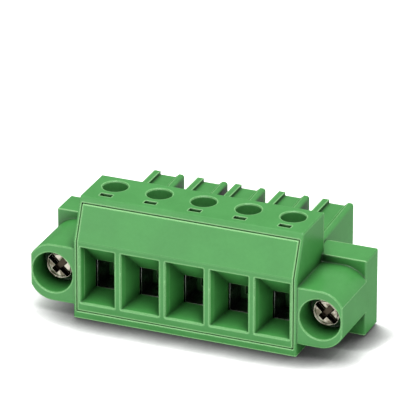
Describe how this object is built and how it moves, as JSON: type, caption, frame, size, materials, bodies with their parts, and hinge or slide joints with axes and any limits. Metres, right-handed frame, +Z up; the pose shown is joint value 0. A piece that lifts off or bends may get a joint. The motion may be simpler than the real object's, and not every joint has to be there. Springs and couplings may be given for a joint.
{
  "type": "pluggable terminal block",
  "caption": "Pluggable screw terminal block: a row of wire entries with rising-cage clamps under a sloping front, keyed socket chambers behind and a captive screw in each end flange.",
  "frame": {"origin": "under the middle of the part's width and depth, on the plane of the housing's base", "axes": "+X along the row of positions, with the first position at -X; +Y from the wire side to the mating side, the way the plug is pushed in; +Z up, the way the clamp screws' heads point"},
  "size_m": [0.0532, 0.0296, 0.0201],
  "materials": {
    "housing_moulding": "satin moulded polyamide",
    "insert_moulding": "satin moulded polyamide",
    "clamp_screw_steel": "zinc-plated steel",
    "clamp_cage_steel": "zinc-plated steel",
    "contact_alloy": "tin-plated copper alloy",
    "spring_steel": "bright spring steel",
    "flange_screw_steel": "nickel-plated steel"
  },
  "bodies": {
    "block": {"housing": "housing_moulding", "front_insert": "insert_moulding", "contact_1": "contact_alloy", "contact_spring_1": "spring_steel", "contact_2": "contact_alloy", "contact_spring_2": "spring_steel", "contact_3": "contact_alloy", "contact_spring_3": "spring_steel", "contact_4": "contact_alloy", "contact_spring_4": "spring_steel", "contact_5": "contact_alloy", "contact_spring_5": "spring_steel"},
    "screw_1": {"clamp_screw_1": "clamp_screw_steel"},
    "cage_1": {"clamp_cage_1": "clamp_cage_steel"},
    "screw_2": {"clamp_screw_2": "clamp_screw_steel"},
    "cage_2": {"clamp_cage_2": "clamp_cage_steel"},
    "screw_3": {"clamp_screw_3": "clamp_screw_steel"},
    "cage_3": {"clamp_cage_3": "clamp_cage_steel"},
    "screw_4": {"clamp_screw_4": "clamp_screw_steel"},
    "cage_4": {"clamp_cage_4": "clamp_cage_steel"},
    "screw_5": {"clamp_screw_5": "clamp_screw_steel"},
    "cage_5": {"clamp_cage_5": "clamp_cage_steel"},
    "flange_screw_left": {"flange_screw_left": "flange_screw_steel"},
    "flange_screw_right": {"flange_screw_right": "flange_screw_steel"}
  },
  "joints": [
    {"name": "clamp_screw_turn_1", "type": "hinge", "parent": "block", "child": "screw_1", "pos_m": [-0.01524, -0.0066, 0.012], "axis": [0, 0, -1], "range_deg": [0, 2160]},
    {"name": "clamp_cage_lift_1", "type": "slide", "parent": "block", "child": "cage_1", "axis": [0, 0, 1], "range_m": [0, 0.003]},
    {"name": "clamp_screw_turn_2", "type": "hinge", "parent": "block", "child": "screw_2", "pos_m": [-0.00762, -0.0066, 0.012], "axis": [0, 0, -1], "range_deg": [0, 2160]},
    {"name": "clamp_cage_lift_2", "type": "slide", "parent": "block", "child": "cage_2", "axis": [0, 0, 1], "range_m": [0, 0.003]},
    {"name": "clamp_screw_turn_3", "type": "hinge", "parent": "block", "child": "screw_3", "pos_m": [0, -0.0066, 0.012], "axis": [0, 0, -1], "range_deg": [0, 2160]},
    {"name": "clamp_cage_lift_3", "type": "slide", "parent": "block", "child": "cage_3", "axis": [0, 0, 1], "range_m": [0, 0.003]},
    {"name": "clamp_screw_turn_4", "type": "hinge", "parent": "block", "child": "screw_4", "pos_m": [0.00762, -0.0066, 0.012], "axis": [0, 0, -1], "range_deg": [0, 2160]},
    {"name": "clamp_cage_lift_4", "type": "slide", "parent": "block", "child": "cage_4", "axis": [0, 0, 1], "range_m": [0, 0.003]},
    {"name": "clamp_screw_turn_5", "type": "hinge", "parent": "block", "child": "screw_5", "pos_m": [0.01524, -0.0066, 0.012], "axis": [0, 0, -1], "range_deg": [0, 2160]},
    {"name": "clamp_cage_lift_5", "type": "slide", "parent": "block", "child": "cage_5", "axis": [0, 0, 1], "range_m": [0, 0.003]},
    {"name": "flange_screw_turn_left", "type": "hinge", "parent": "block", "child": "flange_screw_left", "pos_m": [-0.02286, -0.0048, 0.007], "axis": [0, 1, 0], "continuous": true},
    {"name": "flange_screw_turn_right", "type": "hinge", "parent": "block", "child": "flange_screw_right", "pos_m": [0.02286, -0.0048, 0.007], "axis": [0, 1, 0], "continuous": true}
  ],
  "couplings": [
    {"joint": "clamp_screw_turn_1", "follows": "clamp_cage_lift_1", "rad_per_m": 12566},
    {"joint": "clamp_screw_turn_2", "follows": "clamp_cage_lift_2", "rad_per_m": 12566},
    {"joint": "clamp_screw_turn_3", "follows": "clamp_cage_lift_3", "rad_per_m": 12566},
    {"joint": "clamp_screw_turn_4", "follows": "clamp_cage_lift_4", "rad_per_m": 12566},
    {"joint": "clamp_screw_turn_5", "follows": "clamp_cage_lift_5", "rad_per_m": 12566}
  ]
}
